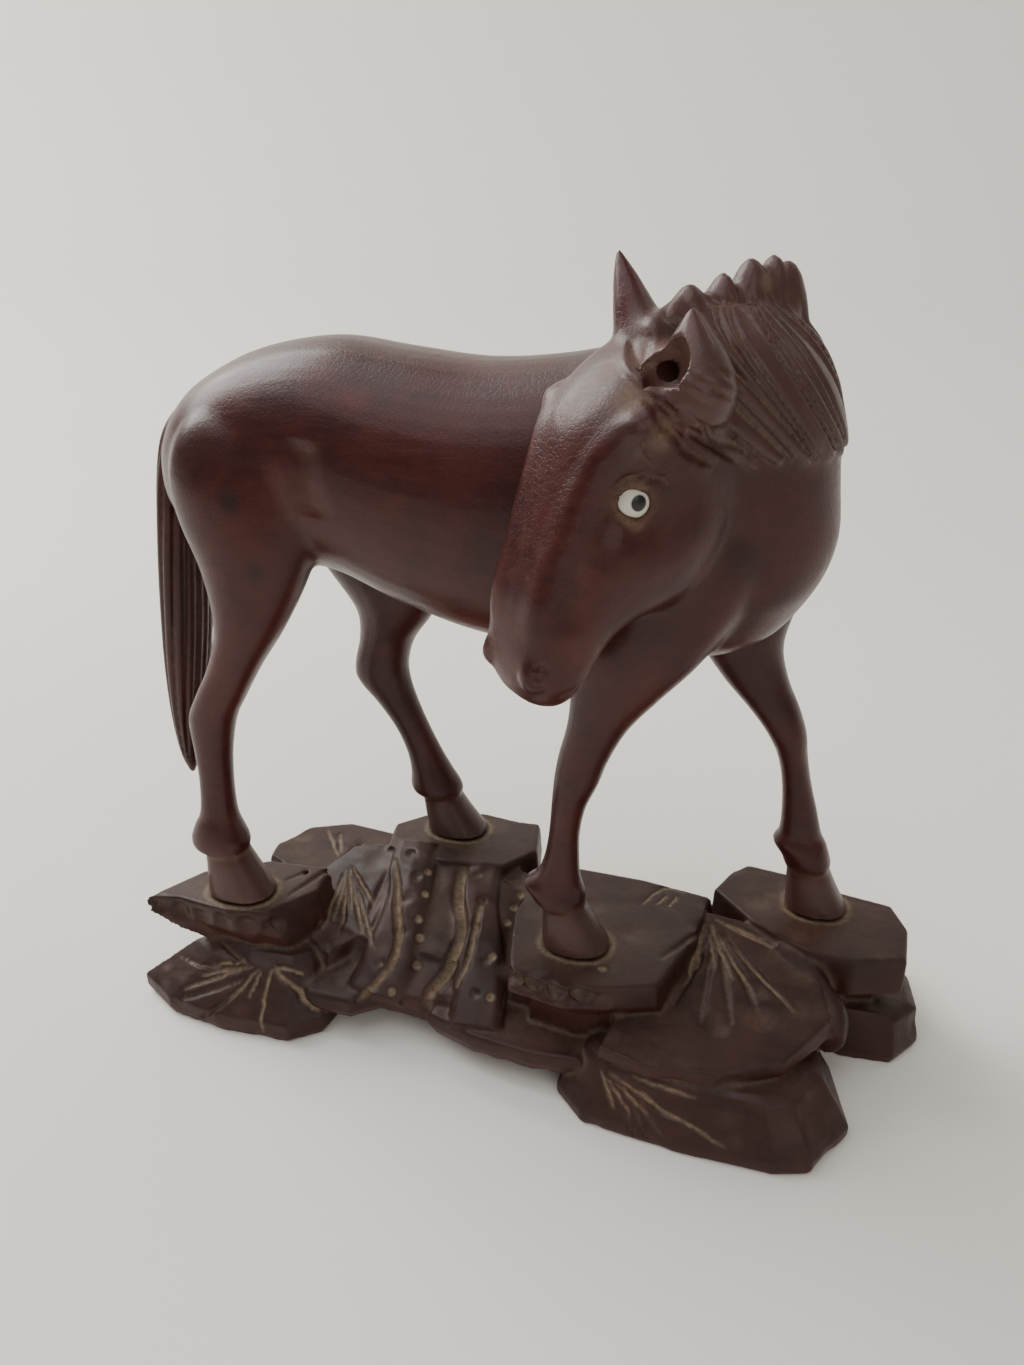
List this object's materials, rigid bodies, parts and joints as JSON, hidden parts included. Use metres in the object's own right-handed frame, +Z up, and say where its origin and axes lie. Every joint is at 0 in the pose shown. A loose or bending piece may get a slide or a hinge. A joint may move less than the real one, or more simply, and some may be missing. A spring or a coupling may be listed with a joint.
{
  "type": "carved horse figure",
  "caption": "Carved hardwood horse on a rocky carved stand, walking with its head turned back over its right shoulder, with pale inlaid eyes.",
  "frame": {"origin": "middle of the bounding box on the table the stand rests on", "axes": "+X the way the horse walks, +Y its left side, +Z up"},
  "size_m": [0.163, 0.0742, 0.1509],
  "materials": {
    "rosewood_lacquer": "satin lacquer",
    "stand_wood": "worn lacquer with pale dust in the cuts",
    "eye_inlay": "polished bone with a dark pupil"
  },
  "bodies": {
    "root": {"horse": "rosewood_lacquer", "rock_stand": "stand_wood", "left_eye": "eye_inlay", "right_eye": "eye_inlay"}
  },
  "joints": []
}
